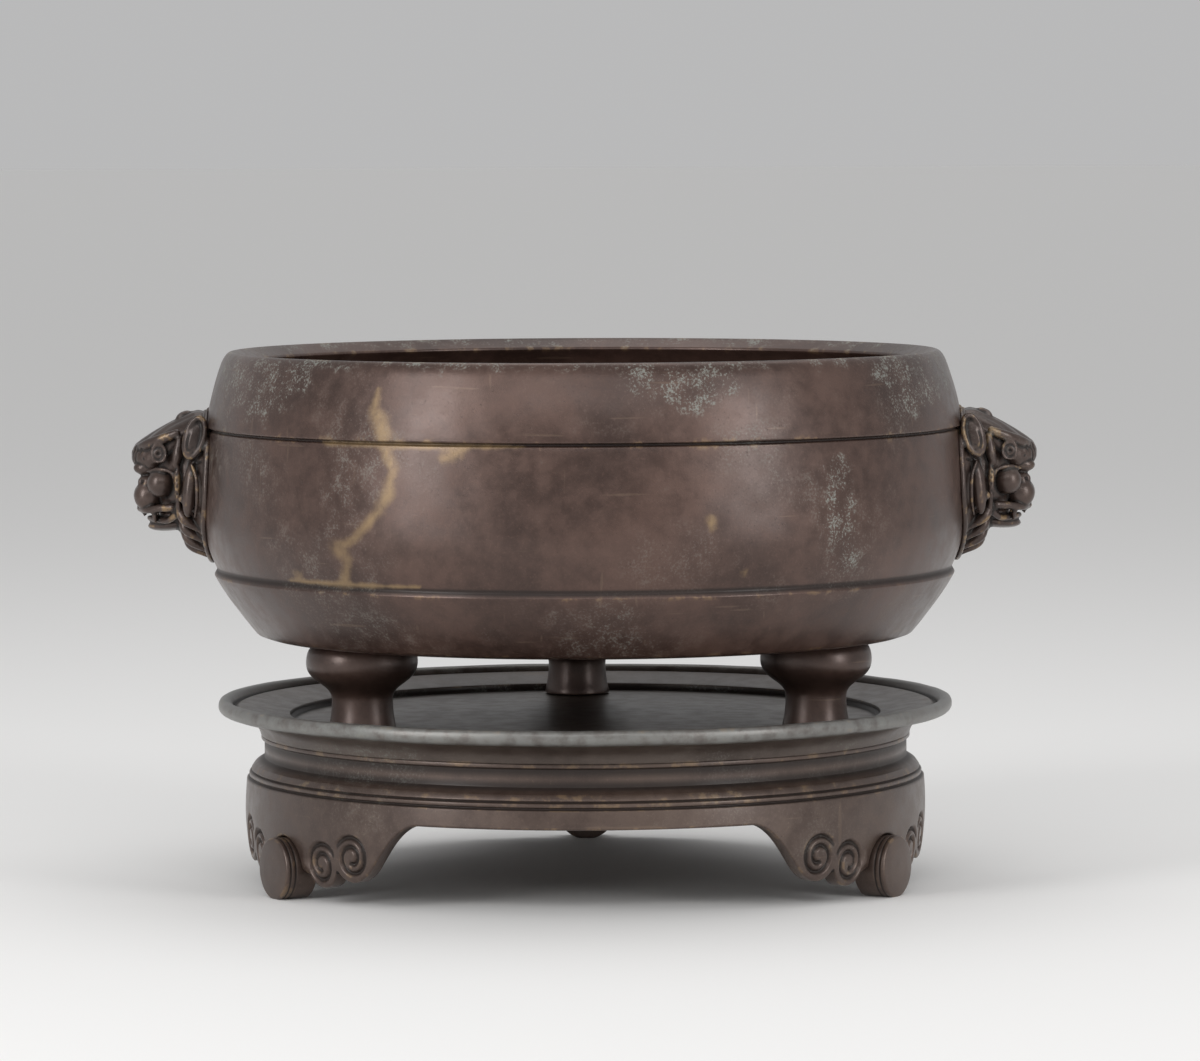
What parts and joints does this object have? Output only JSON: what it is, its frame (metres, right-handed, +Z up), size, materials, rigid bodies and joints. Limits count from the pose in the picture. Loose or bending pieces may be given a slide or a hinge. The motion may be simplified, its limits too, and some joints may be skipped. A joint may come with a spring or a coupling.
{
  "type": "tripod incense burner",
  "caption": "Low round bronze censer on baluster feet with lion-mask side handles, lifting off a dished stand with arched legs and scrolled roll feet.",
  "frame": {"origin": "centre of the footprint on the floor, on the axis of the bowl and the stand", "axes": "+Z up, +X through the right-hand lion mask, -Y towards the front arch"},
  "size_m": [0.2488, 0.2092, 0.1455],
  "materials": {
    "bowl_bronze": "dark red-brown patina with worn brass streaks",
    "mask_bronze": "dark brown patina, brassy on the high points",
    "foot_bronze": "dark brown patina",
    "tray_bronze": "grey-green speckled patina",
    "frame_bronze": "greyish brown patina",
    "rivet_bronze": "hammered, dull"
  },
  "bodies": {
    "stand": {"stand_frame": "frame_bronze", "roll_foot_front_right": "frame_bronze", "roll_foot_front_left": "frame_bronze", "roll_foot_back": "frame_bronze", "tray": "tray_bronze"},
    "censer": {"bowl": "bowl_bronze", "bowl_foot_front_right": "foot_bronze", "bowl_foot_front_left": "foot_bronze", "bowl_foot_back": "foot_bronze", "lion_mask_right": "mask_bronze", "lion_mask_left": "mask_bronze", "mask_rivet_right_upper": "rivet_bronze", "mask_rivet_right_lower": "rivet_bronze", "mask_rivet_left_upper": "rivet_bronze", "mask_rivet_left_lower": "rivet_bronze"}
  },
  "joints": [
    {"name": "bowl_lift", "type": "slide", "parent": "stand", "child": "censer", "axis": [0, 0, 1], "range_m": [0, 0.06]}
  ]
}
